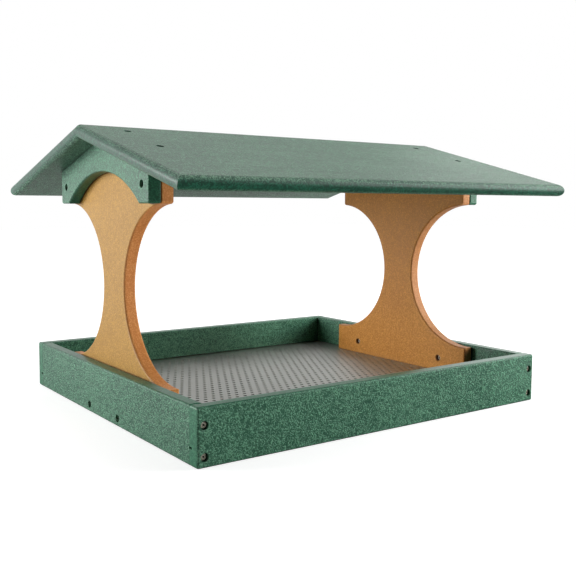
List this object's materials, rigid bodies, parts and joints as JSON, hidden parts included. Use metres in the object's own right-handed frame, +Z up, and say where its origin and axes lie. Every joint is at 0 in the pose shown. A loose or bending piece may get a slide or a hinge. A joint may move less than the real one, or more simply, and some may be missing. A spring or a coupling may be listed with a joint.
{
  "type": "bird table",
  "caption": "Covered bird table: shallow board tray with a perforated floor, waisted end uprights, arched gable boards and a low pitched roof.",
  "frame": {"origin": "centre of the tray's underside, on the surface that it stands on", "axes": "+X along the tray's long side and the ridge, -Y towards the front, +Z up"},
  "size_m": [0.476, 0.3958, 0.2882],
  "materials": {
    "green_board": "mottled recycled plastic board, satin",
    "tan_board": "mottled recycled plastic board, satin",
    "floor_metal": "perforated sheet, dull mill finish",
    "screw_steel": "coated deck screws, slightly tarnished"
  },
  "bodies": {
    "root": {"tray_front_board": "green_board", "tray_rear_board": "green_board", "tray_left_end": "green_board", "tray_right_end": "green_board", "floor_rail": "green_board", "gable_left": "green_board", "gable_right": "green_board", "roof_front_panel": "green_board", "roof_rear_panel": "green_board", "upright_left": "tan_board", "upright_right": "tan_board", "floor_screen": "floor_metal", "tray_corner_screws": "screw_steel", "rail_screws": "screw_steel", "upright_foot_screws": "screw_steel", "gable_screws": "screw_steel", "roof_screws": "screw_steel"}
  },
  "joints": []
}
